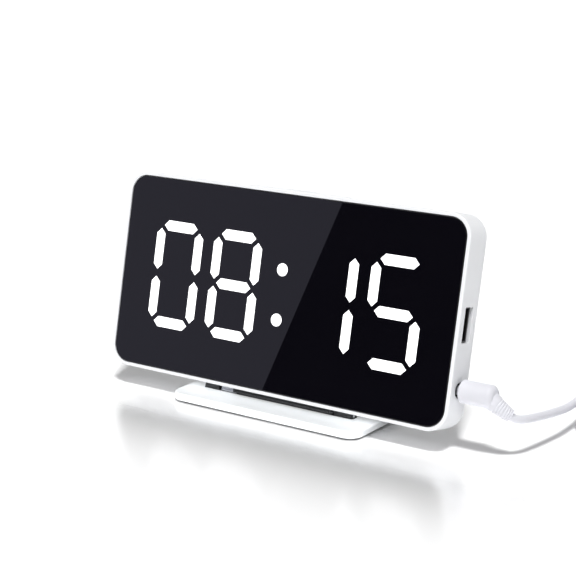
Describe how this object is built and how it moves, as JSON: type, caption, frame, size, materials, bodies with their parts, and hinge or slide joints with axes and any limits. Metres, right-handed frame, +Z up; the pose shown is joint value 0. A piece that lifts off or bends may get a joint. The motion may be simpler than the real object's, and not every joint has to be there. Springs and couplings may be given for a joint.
{
  "type": "alarm clock",
  "caption": "Slim mirror-faced digital alarm clock leaning back on a hinged foot plate, with a USB charging socket and a plug-in supply lead in its side.",
  "frame": {"origin": "on the table below the middle of the clock: bottom centre of the clock and its foot, without the supply lead", "axes": "+X to the right of the display, -Y towards the reader, +Z up"},
  "size_m": [0.2344, 0.0965, 0.0874],
  "materials": {
    "white_shell": "satin white, moulded",
    "white_lead": "soft white, flexible",
    "mirror_panel": "dark half-mirror, polished",
    "milky_film": "translucent white",
    "black_plastic": "black, fine texture",
    "dark_grey": "dark grey, matt",
    "steel": "bright, plated",
    "board_green": "green solder resist",
    "key_grey": "pale grey, satin",
    "rubber_grey": "grey, matt"
  },
  "bodies": {
    "case": {"front_housing": "white_shell", "back_cover": "white_shell", "mirror_panel": "mirror_panel", "diffuser_film": "milky_film", "light_block": "black_plastic", "usb_socket_tongue": "black_plastic", "dc_jack_body": "black_plastic", "cell_holder": "black_plastic", "buzzer": "black_plastic", "snooze_switch": "black_plastic", "mode_key_switch": "black_plastic", "set_key_switch": "black_plastic", "down_key_switch": "black_plastic", "up_key_switch": "black_plastic", "alarm_key_switch": "black_plastic", "hinge_neck": "dark_grey", "case_screw_1": "steel", "case_screw_2": "steel", "case_screw_3": "steel", "case_screw_4": "steel", "usb_socket_shell": "steel", "dc_jack_pin": "steel", "backup_cell": "steel", "alarm_slider_switch": "steel", "display_board": "board_green", "power_board": "board_green", "board_link": "key_grey"},
    "foot": {"foot_plate": "white_shell", "hinge_leaf": "dark_grey", "friction_sleeve": "steel", "hinge_pin": "steel", "foot_pad_1": "rubber_grey", "foot_pad_2": "rubber_grey", "foot_pad_3": "rubber_grey", "foot_pad_4": "rubber_grey", "leaf_screw_1": "steel", "leaf_screw_2": "steel"},
    "supply_lead": {"dc_plug_body": "white_lead", "dc_plug_barrel": "steel", "strain_relief": "white_lead", "power_cord": "white_lead", "cord_coil": "white_lead", "cord_tail": "white_lead", "usb_plug_grip": "white_lead", "usb_plug_tip": "steel"},
    "snooze_bar": {"snooze_bar": "white_shell"},
    "alarm_slider": {"alarm_slider": "dark_grey"},
    "battery_cap": {"battery_cap": "white_shell"},
    "mode_key": {"mode_key": "key_grey"},
    "set_key": {"set_key": "key_grey"},
    "down_key": {"down_key": "key_grey"},
    "up_key": {"up_key": "key_grey"},
    "alarm_key": {"alarm_key": "key_grey"}
  },
  "joints": [
    {"name": "foot_tilt", "type": "hinge", "parent": "case", "child": "foot", "pos_m": [0, -0.0096, 0.004], "axis": [1, 0, 0], "range_deg": [-12, 15]},
    {"name": "dc_plug_pull", "type": "slide", "parent": "case", "child": "supply_lead", "axis": [1, 0, 0], "range_m": [0, 0.0115]},
    {"name": "snooze_press", "type": "slide", "parent": "case", "child": "snooze_bar", "axis": [0, -0.213, -0.977], "range_m": [0, 0.0008], "stiffness_N_per_m": 1200},
    {"name": "alarm_slide", "type": "slide", "parent": "case", "child": "alarm_slider", "axis": [1, 0, 0], "range_m": [0, 0.004]},
    {"name": "battery_cap_turn", "type": "hinge", "parent": "case", "child": "battery_cap", "pos_m": [-0.044, 0.00106, 0.02982], "axis": [0, 0.977, -0.213], "range_deg": [0, 45]},
    {"name": "mode_key_press", "type": "slide", "parent": "case", "child": "mode_key", "axis": [0, -0.977, 0.213], "range_m": [0, 0.0006], "stiffness_N_per_m": 1000},
    {"name": "set_key_press", "type": "slide", "parent": "case", "child": "set_key", "axis": [0, -0.977, 0.213], "range_m": [0, 0.0006], "stiffness_N_per_m": 1000},
    {"name": "down_key_press", "type": "slide", "parent": "case", "child": "down_key", "axis": [0, -0.977, 0.213], "range_m": [0, 0.0006], "stiffness_N_per_m": 1000},
    {"name": "up_key_press", "type": "slide", "parent": "case", "child": "up_key", "axis": [0, -0.977, 0.213], "range_m": [0, 0.0006], "stiffness_N_per_m": 1000},
    {"name": "alarm_key_press", "type": "slide", "parent": "case", "child": "alarm_key", "axis": [0, -0.977, 0.213], "range_m": [0, 0.0006], "stiffness_N_per_m": 1000}
  ]
}
